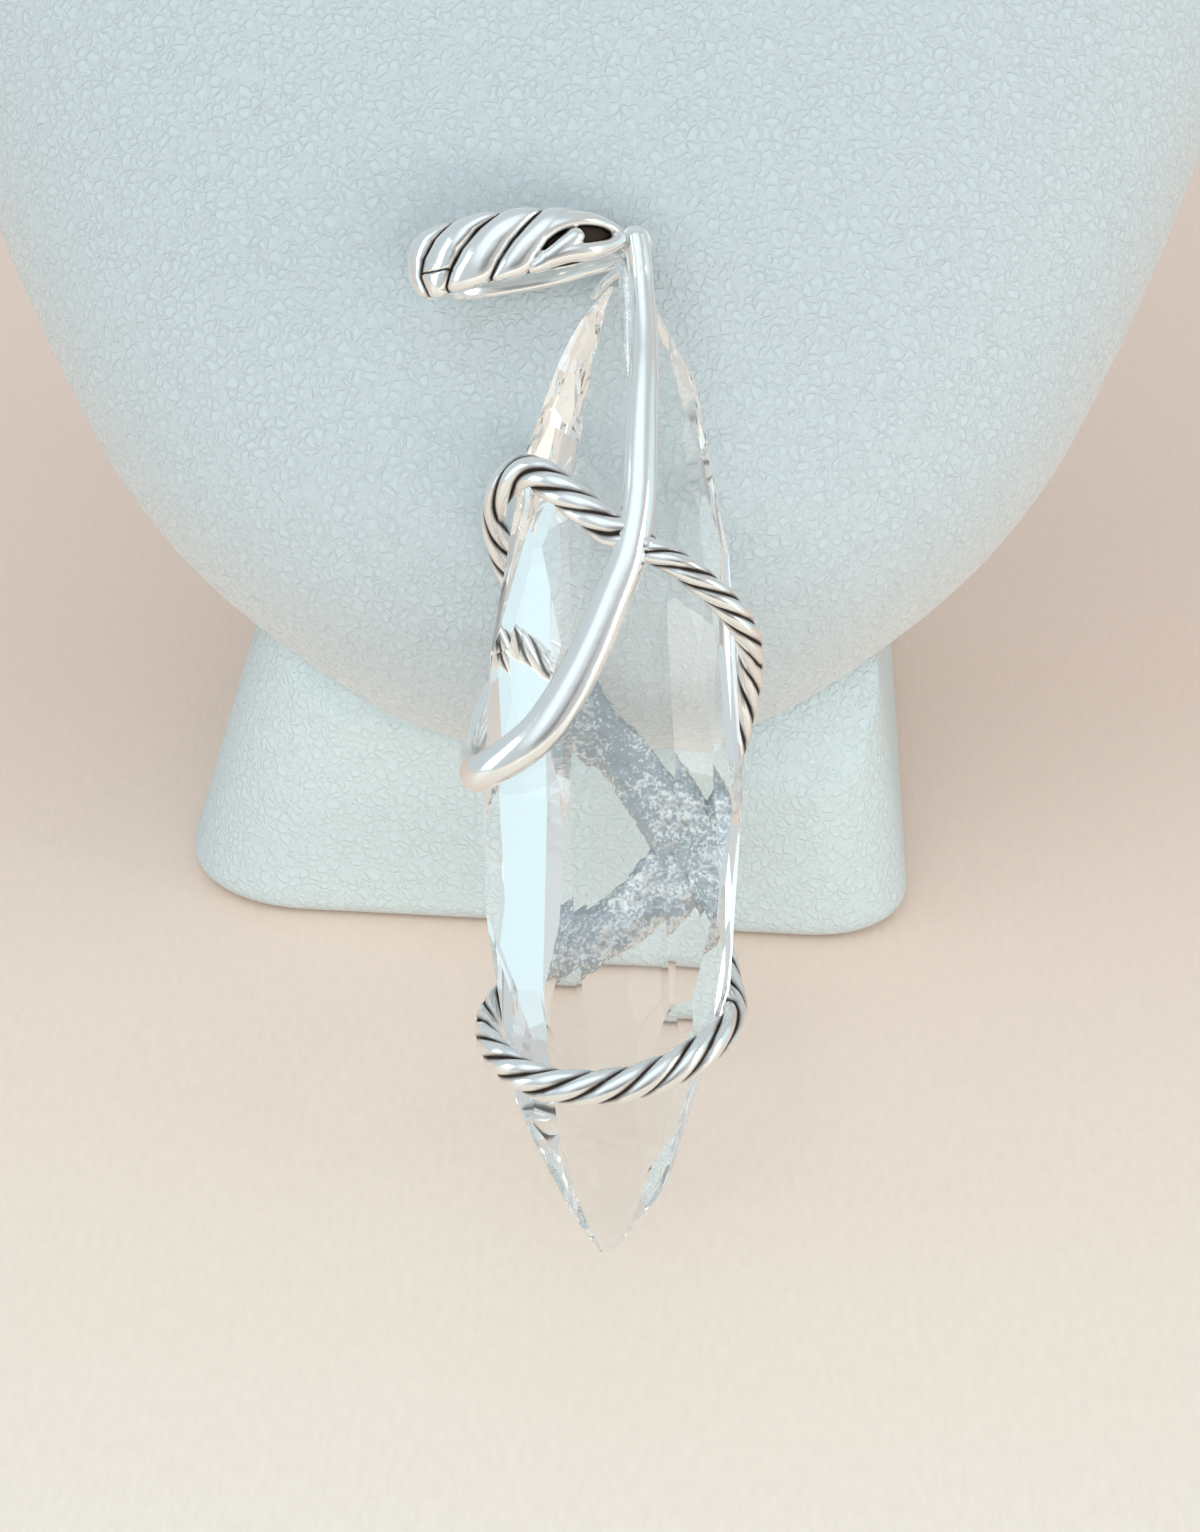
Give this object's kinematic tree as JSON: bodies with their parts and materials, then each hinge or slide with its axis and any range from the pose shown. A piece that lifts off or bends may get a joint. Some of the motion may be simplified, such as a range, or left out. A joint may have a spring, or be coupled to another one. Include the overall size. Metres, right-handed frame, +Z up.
{
  "type": "pendant enhancer on a neck bust",
  "caption": "Long faceted clear crystal drop wrapped in twisted silver cable and a smooth silver bar, with a hinged clip-on bail, leaning on a white neck bust stand.",
  "frame": {"origin": "centre of the whole object's bounding box, at the level of the table it stands on", "axes": "+Z up, +X to the right seen from the front, +Y from the front to the back of the bust"},
  "size_m": [0.14, 0.1466, 0.15],
  "materials": {
    "leatherette": "matt fine-grained white leatherette",
    "crystal": "polished clear rock crystal",
    "silver": "bright silver with darkened grooves"
  },
  "bodies": {
    "stand_and_drop": {"neck_form": "leatherette", "stand_foot": "leatherette", "stone": "crystal", "wire_wrap": "silver", "swing_pin": "silver"},
    "bail": {"bail_back": "silver"},
    "bail_gate": {"bail_front": "silver"}
  },
  "joints": [
    {"name": "bail_swing", "type": "hinge", "parent": "stand_and_drop", "child": "bail", "pos_m": [0.00453, -0.02146, 0.07223], "axis": [0, 0.809, -0.5878], "range_deg": [0, 180]},
    {"name": "bail_front_hinge", "type": "hinge", "parent": "bail", "child": "bail_gate", "pos_m": [-0.01369, -0.02329, 0.07091], "axis": [0.1167, -0.5838, -0.8035], "range_deg": [0, 60]}
  ]
}
